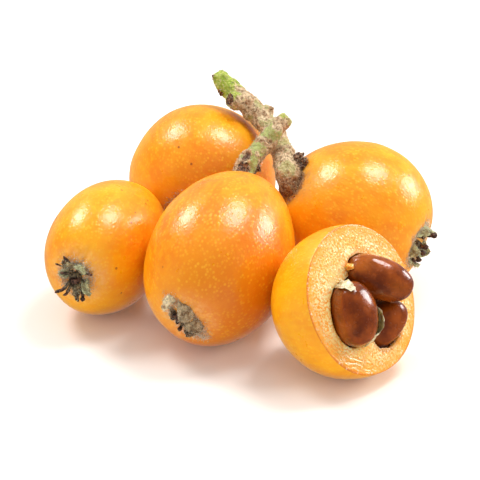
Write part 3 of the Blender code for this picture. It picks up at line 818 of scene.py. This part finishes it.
def whole_fruit(name, fruit, place, seed, skin):
    """A whole fruit's skin, with its rings crowded at both ends."""
    steps = np.linspace(0.0, 1.0, SKIN_RINGS)
    angles = math.pi * (steps - 0.06 * np.sin(2.0 * math.pi * steps))
    angles[0], angles[-1] = 0.004, math.pi - 0.004
    angle, spoke = np.meshgrid(angles, round_angles(SKIN_SEGMENTS), indexing="ij")
    points = rest_on_floor(skin_points(fruit, angle, spoke, seed), place)
    return tube_piece("skin_" + name, points, place, skin, "skin", "fruit_" + name)


# ---------------------------------------------------------------- the cut half and its seeds

def seed_rotation(seed):
    """Turns a seed's own frame, whose Y axis runs along it, into the half's."""
    along = Vector(seed["along"]).normalized()
    across = along.cross(Vector((0.0, 0.0, 1.0))).normalized()
    return np.array(Matrix((across, along, across.cross(along))).transposed())


def hollow_floor(x, y, at, rotation, radii):
    """Height of an ellipsoid's underside over each point of the cut, or 0 where it doesn't reach below it."""
    start = np.stack([x - at[0], y - at[1], np.full_like(x, -at[2])], -1) @ rotation / radii
    rise = np.array((0.0, 0.0, 1.0)) @ rotation / radii
    a = (rise ** 2).sum(-1)
    b = (start * rise).sum(-1)
    c = (start ** 2).sum(-1) - 1.0
    inside = b * b - a * c
    under = (-b - np.sqrt(np.maximum(inside, 0.0))) / a
    return np.where(inside > 0.0, np.minimum(under, 0.0), 0.0)


def hollows(x, y, room):
    """Depth of the hollows for the seeds, with room round each, and of the space between them."""
    room = np.asarray(room)[..., None]
    depth = hollow_floor(x, y, POCKET["at"], np.eye(3), np.array(POCKET["radii"]) + room - HOLLOW_ROOM)
    for seed in SEEDS.values():
        radii = np.array(seed["size"]) / 2.0 + room
        depth = np.minimum(depth, hollow_floor(x, y, seed["at"], seed_rotation(seed), radii))
    return depth


def cut_ridges(x, y, flat):
    """Wavy ridges that the knife left near the lower left rim."""
    away = np.hypot(x, y)
    near = np.clip((-0.85 * x - 0.53 * y - 9.0) / 7.0, 0.0, 1.0) * hump((away - 16.6) / 1.8)
    wander = away + 0.5 * waves(flat, 5.0, 7) + 0.12 * waves(flat, 1.4, 8)
    return np.maximum(np.sin(2.0 * math.pi * wander), -0.3) * 0.16 * near


def cut_relief(x, y):
    """Height of the cut face over its plane, with hollows, grain and ridges; and the juice stain and painted
    shade on it.
    """
    flat = np.stack([x, y, np.zeros_like(x)], -1)
    relief = hollows(x, y, HOLLOW_ROOM + 0.12 * waves(flat, 3.0, 12))
    # Brown juice stain with painted shade, strongest at a hollow's edge.
    juice_and_shade = np.clip(-hollows(x, y, HOLLOW_ROOM + JUICE_AND_SHADE_REACH) / 2.6, 0.0, 1.0)
    grain = waves(flat, 0.9, 5, 24) * 0.015 + waves(flat, 4.0, 6) * 0.04
    on_top = np.where(relief > -0.05, 1.0, 0.5)
    return relief + (grain + cut_ridges(x, y, flat)) * on_top, juice_and_shade


def cut_half(fruit, place, seed, skin, flesh):
    """The half: its skin up to the cut, and the cut face with the seeds' hollows, as one closed mesh."""
    limit = math.acos(-CUT_HEIGHT / fruit["half_length"])
    skin_rows, face_rows, segments = 100, 170, 256
    spokes = round_angles(segments)
    angle, spoke = np.meshgrid(np.linspace(0.02, limit, skin_rows), spokes, indexing="ij")
    outer = rest_on_floor(skin_points(fruit, angle, spoke, seed), place)
    outer[-1, :, 2] = CUT_HEIGHT - 0.12
    rim = np.hypot(outer[-1, :, 0], outer[-1, :, 1])
    shares = np.linspace(0.988, 0.004, face_rows)[:, None]
    x, y = shares * rim * np.cos(spokes), shares * rim * np.sin(spokes)
    relief, juice_and_shade = cut_relief(x, y)
    inner = np.stack([x, y, CUT_HEIGHT + relief], -1)
    points = np.concatenate([outer.reshape(-1, 3), inner.reshape(-1, 3)])
    u = np.concatenate([np.zeros(skin_rows * segments), juice_and_shade.ravel()])
    uv = np.column_stack([u, np.zeros(len(u))])
    faces = tube_faces(skin_rows + face_rows, segments)
    slots = [0 if i < (skin_rows - 1) * segments else 1 for i in range(len(faces) - 2)] + [0, 1]
    piece = new_object("cut_half", points, faces, place, [skin, flesh], face_slots=slots, uv=uv)
    return attach(piece, "cut_fruit", "fruit_half")


def seed_surface(seed, angle, spoke):
    """Points on a seed, in the half's frame: fuller at its ends than an ellipsoid, with flattened sides."""
    girth = np.sin(angle) ** 0.82
    cosine, sine = np.cos(spoke), np.sin(spoke)
    blunt = (np.abs(cosine) ** 2.5 + np.abs(sine) ** 2.5) ** (-1.0 / 2.5)
    body = np.stack([girth * cosine * blunt, -np.cos(angle), girth * sine * blunt], -1)
    points = body * 0.985 * np.array(seed["size"]) / 2.0
    points = points * (1.0 + 0.012 * waves(points, 9.0, 70)[..., None])
    return points @ seed_rotation(seed).T + np.array(seed["at"]) + np.array((0.0, 0.0, CUT_HEIGHT))


def seed_piece(name, seed, place, number):
    points = seed_surface(seed, *ball_angles(90, 112, 0.01))
    coat = seed_material("seed_coat_" + name, number)
    return tube_piece("loquat_seed_" + name, points, place, coat, "seed", "seed_" + name)


def torn_flap(seed, place, material):
    """Scrap of seed skin that lies over the end of a seed: a thin closed patch with a ragged edge."""
    rows, columns = 22, 72
    turns = round_angles(columns)
    ragged = 1.0 + 0.14 * np.sin(3.0 * turns + 1.0) + 0.05 * np.sin(7.0 * turns) + 0.03 * np.sin(13.0 * turns)
    shares = np.linspace(0.02, 1.0, rows)[:, None]
    reach = math.radians(FLAP["reach"]) * ragged * shares
    centre = unit(np.array(FLAP["facing"], float))
    side = unit(np.cross(centre, (0.0, 0.0, 1.0)))
    other = np.cross(centre, side)
    tilt = np.cos(turns)[None, :, None] * side * FLAP["wide"] + np.sin(turns)[None, :, None] * other
    aims = unit(centre * np.cos(reach)[..., None] + tilt * np.sin(reach)[..., None])
    angle = np.arccos(np.clip(-aims[..., 1], -1.0, 1.0))
    spoke = np.arctan2(aims[..., 2], aims[..., 0])
    under = seed_surface(seed, angle, spoke)
    heart = np.array(seed["at"]) + np.array((0.0, 0.0, CUT_HEIGHT))
    out = unit(under - heart)
    crumple = 0.16 * waves(under, 1.6, 88) + 0.45 * shares ** 3
    low = under + out * (0.22 + crumple)[..., None]
    high = low + out * (0.28 - 0.16 * shares ** 2)[..., None]
    points = np.concatenate([low, high[::-1]])
    return tube_piece("membrane_flap", points, place, material, "seed_skin", "seed_membrane_flap")


def pulp_lump(place):
    """Bead of torn orange pulp beside the upper seed."""
    angle, spoke = ball_angles(34, 40, 0.02)
    body = np.stack([np.sin(angle) * np.cos(spoke), -np.cos(angle), np.sin(angle) * np.sin(spoke)], -1)
    points = body * np.array(PULP["radii"])
    points = points * (1.0 + 0.16 * waves(points, 1.6, 91)[..., None]) + np.array(PULP["at"])
    return tube_piece("torn_pulp", points, place, pulp_material(), "cut_fruit")


def membrane_leaf(place, material):
    """Thin standing leaf over a line on the cut, with a wavy upper edge that curls sideways."""
    rows, columns = 48, 36
    route = smooth_route([(*spot, *edges) for spot, edges in zip(LEAF_LINE, LEAF_EDGES)], rows)
    flat = np.column_stack([route[:, 0], route[:, 1], np.zeros(rows)])
    sides = np.cross(unit(np.gradient(flat, axis=0)), (0.0, 0.0, 1.0))
    turns = -round_angles(columns)
    rise = 0.5 - 0.5 * np.cos(turns)
    offset = LEAF_CURL * rise ** 2 + 0.5 * LEAF_THICKNESS * np.sin(turns) * (1.0 - 0.5 * rise)
    points = flat[:, None, :] + sides[:, None, :] * offset[None, :, None]
    points[..., 2] = CUT_HEIGHT + route[:, 2:3] + (route[:, 3:4] - route[:, 2:3]) * rise
    points = points + sides[:, None, :] * (waves(points, 3.0, 31) * 0.22 * rise)[..., None]
    points[..., 2] += waves(points, 2.0, 32) * 0.18 * rise
    return tube_piece("membrane_leaf", points, place, material, "seed_skin", "seed_membrane")


# ---------------------------------------------------------------- calyxes

def heading_of(degrees):
    """Cosine and sine of an angle in degrees."""
    return math.cos(math.radians(degrees)), math.sin(math.radians(degrees))


def turned(points, degrees):
    """Points turned about Z."""
    c, s = heading_of(degrees)
    x, y = points[..., 0], points[..., 1]
    return np.stack([x * c - y * s, x * s + y * c, points[..., 2]], -1)


def fit_calyx(points, calyx):
    """Stretches a calyx's pieces to its oval, turns them to its heading and moves them to its middle."""
    stretched = points * np.array((*calyx["oval"], 1.0))
    return turned(stretched, calyx["heading"]) + np.array((*calyx.get("shift", NO_SHIFT), 0.0))


def sepal_rings(fruit, calyx, length, half_width, rise, curl, seed):
    """A sepal that grows along +X: a cupped woolly leaf that narrows to a blunt tip."""
    rows, columns = 26, 28
    share = np.linspace(0.0, 1.0, rows)
    angle = np.radians(rise + (curl - rise) * share)
    step = length / (rows - 1)
    out = calyx["ring"] + np.concatenate([[0.0], np.cumsum(np.cos(angle[:-1]) * step)])
    down = np.concatenate([[0.0], np.cumsum(np.sin(angle[:-1]) * step)])
    root = skin_height(fruit, calyx["ring"]) + 0.5
    middles = np.stack([out, np.zeros(rows), root - down], -1)
    normals = np.stack([np.sin(angle), np.zeros(rows), np.cos(angle)], -1)
    widths = half_width * (1.0 - share ** 2.2) ** 0.7 * (1.0 - 0.25 * share) + 0.12
    thick = calyx["thick"] * (1.0 - 0.40 * share) * np.sqrt(1.0 - 0.96 * share ** 4)
    turns = round_angles(columns)
    across = np.cos(turns)
    cup = 0.30 * half_width * (1.0 - across ** 2)
    body = middles[:, None, :] + np.array((0.0, 1.0, 0.0)) * (widths[:, None] * across)[..., None]
    lift = cup * (0.4 + 0.6 * share[:, None]) + 0.5 * thick[:, None] * np.sin(turns)
    body = body + normals[:, None, :] * lift[..., None]
    return body + shake(body, 1.5, seed) * 0.20 + shake(body, 0.6, seed + 10) * 0.07


def stamen_rings(foot, lean, length, thick, knob, seed):
    """A dried stamen: a crooked thread with a swollen knob at its tip, in the fruit's frame."""
    rows, columns = 22, 12
    share = np.linspace(0.0, 1.0, rows)
    bend = shake(np.column_stack([share * 3.0, share, share * 0.0 + seed]), 2.2, seed) * 0.42
    droop = np.array((0.0, 0.0, -0.10)) * length * share[:, None] ** 2
    middles = foot + lean * length * share[:, None] + bend * share[:, None] + droop
    swell = hump((share - 0.90) / 0.10)
    widths = thick * (1.0 - 0.25 * share) * np.sqrt(np.clip(1.0 - share ** 12, 0.02, 1.0))
    widths = widths + (knob - thick) * swell + 0.06 * waves(middles, 1.0, seed + 5)
    widths[0], widths[-1] = thick * 0.8, 0.15
    rings = tube_rings(middles, np.maximum(widths, 0.1), columns, depths=np.maximum(widths * 0.8, 0.1),
                       normal=(0.3, 0.9, 0.2))
    return rings + shake(rings, 0.8, seed + 20) * 0.07


def sepals(name, fruit, place):
    """The calyx's sepals with their hair."""
    calyx = CALYXES[name]
    hair = wool_material("calyx_wool_" + name, tuple(0.30 + 0.8 * v for v in calyx["wool"]))
    for number, (bearing, length, width, rise, curl, dry) in enumerate(SEPALS[name]):
        seed = 100 + 40 * number
        rings = sepal_rings(fruit, calyx, length, width, rise, curl, seed)
        points, faces, uv = join_tubes([fit_calyx(turned(rings, bearing), calyx)])
        label = f"{name}_{number + 1}"
        tint = tuple(v * 1.35 * (1.0 - dry) + brown * dry for v, brown in zip(calyx["wool"], DRY_FELT))
        material = sepal_material("sepal_" + label, tint, dry)
        piece = new_object("calyx_leaf_" + label, points, faces, place, [material], uv=uv)
        attach(piece, "sepal", "sepal_" + label)
        wool("leaf_wool_" + label, piece, "sepal", hair, 180, (0.35, 1.0), seed, 0.6)


def stamens(name, fruit, place):
    """The calyx's tuft of dried stamens."""
    shift = CALYXES[name].get("shift", NO_SHIFT)
    tubes = []
    for number, (bearing, away, heading, tilt, length, thick, knob) in enumerate(STAMENS[name]):
        foot = np.array((*heading_of(bearing), 0.0)) * away
        foot += (*shift, skin_height(fruit, away) + 0.4)
        out, side = heading_of(tilt)
        lean = np.array((*heading_of(heading), 0.0)) * side - (0.0, 0.0, out)
        tubes.append(stamen_rings(foot, lean, length, thick, knob, 300 + 7 * number))
    points, faces, uv = join_tubes(tubes)
    tuft = new_object("dried_stamens_" + name, points, faces, place, [stamen_material()], uv=uv)
    attach(tuft, "stamens", "stamens_" + name)


def calyx_hair(name, host):
    """Fine pale hair on the skin in a ring round the calyx."""
    calyx = CALYXES[name]

    def near_calyx(centres):
        flat = turned(centres, -calyx["heading"]) / np.array((*calyx["oval"], 1.0))
        away = np.hypot(flat[:, 0], flat[:, 1])
        ring = hump((away - calyx["ring"] - 1.0) / 1.3)
        return np.where(centres[:, 2] < 0.0, ring, 0.0)

    pale = wool_material("skin_wool_" + name, (1.0, 0.88, 0.70))
    wool("calyx_fuzz_" + name, host, "skin", pale, 1700, (0.4, 1.5), 500, 1.1, near_calyx)


def foot_hair(host):
    """Brownish hair on the skin round the long stalk's foot."""

    def near_foot(centres):
        away = np.linalg.norm(centres - np.array(FOOT_HAIR["at"]), axis=1)
        return hump(away - FOOT_HAIR["ring"])

    tawny = wool_material("foot_wool", (0.70, 0.48, 0.28))
    wool("foot_fuzz", host, "skin", tawny, 900, (0.5, 1.6), 510, 1.0, near_foot)


# ---------------------------------------------------------------- stalks

def rounded(route, cap):
    """Adds a round cap to the end of a route of (x, y, z, radius)."""
    run = unit(route[-1, :3] - route[-3, :3])
    radius = route[-1, 3]
    extra = []
    for turn in np.linspace(0.15, 0.97, 7) * math.pi / 2.0:
        extra.append([*(route[-1, :3] + run * radius * cap * math.sin(turn)), radius * math.cos(turn)])
    return np.vstack([route, extra])


def stalk_tubes(stalk):
    """Rings of the stalk, its stubs, and balls for the lumps of dried bracts."""
    tubes = []
    for line, end in ((stalk["route"], stalk["cap"]), *((stub, 0.25) for stub in stalk["stubs"])):
        path = smooth_route(line, 40)
        path[:, :3] -= MIDDLE
        path = rounded(path, end)
        tubes.append(tube_rings(path[:, :3], path[:, 3], 28, normal=(0.31, -0.9, 0.3)))
    turns = np.linspace(0.12, math.pi - 0.12, 12)
    for *spot, radius in stalk["lumps"]:
        middles = np.array(spot) - MIDDLE + np.outer(np.cos(turns), BALL_AXIS) * radius
        tubes.append(tube_rings(middles, np.sin(turns) * radius, 14))
    return tubes


def melted(name, tubes):
    """One closed mesh from tubes that overlap."""
    points, faces, _ = join_tubes(tubes)
    rough = new_object(name + "_rough", points, faces, Matrix.Identity(4), [])
    melt = rough.modifiers.new("melt", "REMESH")
    melt.mode = "VOXEL"
    melt.voxel_size = VOXEL * MM
    graph = bpy.context.evaluated_depsgraph_get()
    mesh = bpy.data.meshes.new_from_object(rough.evaluated_get(graph))
    bpy.data.objects.remove(rough)
    mesh.name = name
    return mesh


def bark(places, normals, stalk):
    """How far each place is pushed out by ridges, scars and lumps, and whether it is dark."""
    seed = stalk["seed"]
    ridges = waves(places * 0.6, 2.2, seed) * 0.22 + waves(places, 1.1, seed + 1) * 0.10
    push = ridges + waves(places, 6.0, seed + 2) * 0.18
    dark = np.zeros(len(places), bool)
    for spot, facing, radius in stalk["scars"]:
        facing = unit(np.array(facing, float))
        offset = places - (np.array(spot) - MIDDLE)
        deep = offset @ facing
        flat = np.linalg.norm(offset - np.outer(deep, facing), axis=1)
        near = (np.abs(deep) < radius * 1.2) & (normals @ facing > 0.1)
        inner = np.where(near, np.clip(1.0 - flat / radius, 0.0, 1.0), 0.0)
        rim = np.where(near, hump((flat - radius * 1.08) / 0.35), 0.0)
        smooth = 1.0 - 0.5 * np.minimum(inner * 3.0, 1.0)
        push = push * smooth - 0.55 * np.minimum(inner * 2.5, 1.0) + 0.35 * rim
        dark |= near & (flat < 0.82 * radius + 0.12 * waves(places, 1.0, seed + 4))
    for *spot, radius in stalk["lumps"]:
        gap = np.linalg.norm(places - (np.array(spot) - MIDDLE), axis=1)
        dark |= gap < radius + 0.35
        push = push + np.where(gap < radius + 0.5, 0.35 * waves(places, 1.3, seed + 6), 0.0)
    return push, dark


def woody(label, stalk):
    """A stalk with its stubs melted together, ridged and knobbly."""
    material = stalk_material("stalk_" + label, *stalk["colours"])
    mesh = melted(stalk["piece"], stalk_tubes(stalk))
    places, normals = numbers_of(mesh.vertices, "co") / MM, numbers_of(mesh.vertices, "normal")
    line = smooth_route(stalk["route"], 200)[::4, :3] - MIDDLE
    nearest = ((places[:, None, :] - line[None, :, :]) ** 2).sum(-1).argmin(1)
    along = nearest / (len(line) - 1.0)
    push, dark = bark(places, normals, stalk)
    places = places + normals * push[:, None]
    mesh.vertices.foreach_set("co", (places * MM).ravel())
    mesh.materials.append(material)
    mesh.materials.append(scar_material())
    scarred = [dark[list(face.vertices)].mean() > 0.5 for face in mesh.polygons]
    mesh.polygons.foreach_set("material_index", np.array(scarred, np.int32))
    set_uv(mesh, np.column_stack([np.full(len(places), 0.5), along]))
    mesh.shade_smooth()
    mesh.update()
    return add_object(stalk["piece"], mesh)


def back_stub(place):
    """Route and scar of the short stub on the back-left fruit."""
    top = FRUITS["back_left"]["half_length"]
    route = []
    for height, radius in BACK_STUB:
        spot = np.array(place @ Vector((0.0, 0.0, top + height))) + MIDDLE
        route.append((*spot, radius))
    facing = np.array(route[-1][:3]) - np.array(route[0][:3])
    end = np.array(route[-1][:3]) + unit(facing) * 0.3
    return dict(route=route, scars=((end, facing, BACK_SCAR),))


def stalks(places):
    """The stalks, and then their hair."""
    stub = {**STALKS["stub"], **back_stub(places["back_left"])}
    pieces = [woody(label, stalk) for label, stalk in {**STALKS, "stub": stub}.items()]
    hair = wool_material("stalk_wool", (0.80, 0.68, 0.48))
    for piece, (label, stalk) in zip(pieces, STALKS.items()):
        attach(piece, "stalk", stalk["node"])
        wool("stalk_fuzz_" + label, piece, "stalk", hair, stalk["hairs"], (0.4, 1.2), 900, 0.8)


# ---------------------------------------------------------------- stage, lights and camera

def add_light(name, direction, size, power, mirrored):
    """A round softbox that faces the cluster from a direction."""
    data = bpy.data.lights.new(name, "AREA")
    data.shape = "DISK"
    data.size = size
    data.energy = power
    light = add_object(name, data)
    light.location = LIGHT_AIM + Vector(direction).normalized() * LIGHT_DISTANCE
    light.rotation_euler = (LIGHT_AIM - light.location).to_track_quat("-Z", "Y").to_euler()
    light.visible_glossy = mirrored


def white_room():
    """World that is brighter overhead; glossy surfaces mirror it dimly, and brighter behind the cluster."""
    world = bpy.data.worlds.new("studio")
    bpy.context.scene.world = world
    world.use_nodes = True
    n = RoomNodes(world)
    _, behind, up = n.axes(n.node("ShaderNodeTexCoord").outputs["Generated"])
    glossy = n.node("ShaderNodeLightPath").outputs["Is Glossy Ray"]
    lit = n.span(up, 0.1, 0.95, ROOM_LOW, ROOM_HIGH, "LINEAR")
    mirrored = n.span(behind, 0.35, 0.85, MIRRORED_FRONT, MIRRORED_BACK, "LINEAR")
    background = n.tree.nodes["Background"]
    n.put(background, "Strength", n.make("ShaderNodeMix", 0, {0: glossy, 2: lit, 3: mirrored}))
    n.put(background, "Color", (1.0, 1.0, 1.0, 1.0))


def studio():
    """Pale floor, room and lights."""
    mesh = bpy.data.meshes.new("floor")
    corners = [(x * FLOOR_SIZE, y * FLOOR_SIZE, 0.0) for x, y in ((-1, -1), (1, -1), (1, 1), (-1, 1))]
    mesh.from_pydata(corners, [], [(0, 1, 2, 3)])
    mesh.materials.append(floor_material())
    floor = add_object("floor", mesh)
    floor.location.z = -FLOOR_DROP
    floor.visible_glossy = False
    white_room()
    for light in LIGHTS:
        add_light(*light)


def camera():
    """Camera at the viewing angle, aimed a little over its target."""
    elevation = math.radians(VIEW_ELEVATION)
    ahead = Vector((0.0, math.cos(elevation), -math.sin(elevation)))
    up = Vector((0.0, math.sin(elevation), math.cos(elevation)))
    data = bpy.data.cameras.new("camera")
    data.lens = LENS
    data.sensor_width = SENSOR
    data.clip_start, data.clip_end = 0.01, 20.0
    made = add_object("camera", data)
    place = (VIEW_TARGET - ahead * VIEW_DISTANCE) * MM
    aim = (VIEW_TARGET + up * VIEW_RISE) * MM
    made.location = place
    made.rotation_euler = (aim - place).to_track_quat("-Z", "Y").to_euler()
    bpy.context.scene.camera = made


def picture_settings():
    view = bpy.context.scene.view_settings
    view.view_transform = "Standard"
    view.look = "None"
    view.exposure = 0.0
    view.gamma = 1.0


def fruit_pieces(name, fruit, place, number):
    """A fruit's skin, with its cut face if it is the half, its calyx and its hair."""
    # Direction of the painted shade, in the fruit's own frame.
    side = place.to_3x3().inverted() @ PAINTED_SHADE_SIDE
    foot = STALK_PIT["at"][:2] if name == "back_right" else (0.0, 0.0)
    skin = skin_material(name, number + 1, side, foot)
    if name == "half":
        body = cut_half(fruit, place, number, skin, flesh_material())
    else:
        body = whole_fruit(name, fruit, place, number, skin)
    sepals(name, fruit, place)
    stamens(name, fruit, place)
    calyx_hair(name, body)
    if name == "back_right":
        foot_hair(body)


def build():
    camera()
    studio()
    picture_settings()
    places = {name: place_of(name, fruit) for name, fruit in FRUITS.items()}
    for number, (name, fruit) in enumerate(FRUITS.items()):
        fruit_pieces(name, fruit, places[name], number)
    half = places["half"]
    for number, (name, seed) in enumerate(SEEDS.items()):
        seed_piece(name, seed, half, number)
    membrane = membrane_material()
    membrane_leaf(half, membrane)
    torn_flap(SEEDS["front"], half, membrane)
    pulp_lump(half)
    stalks(places)


build()
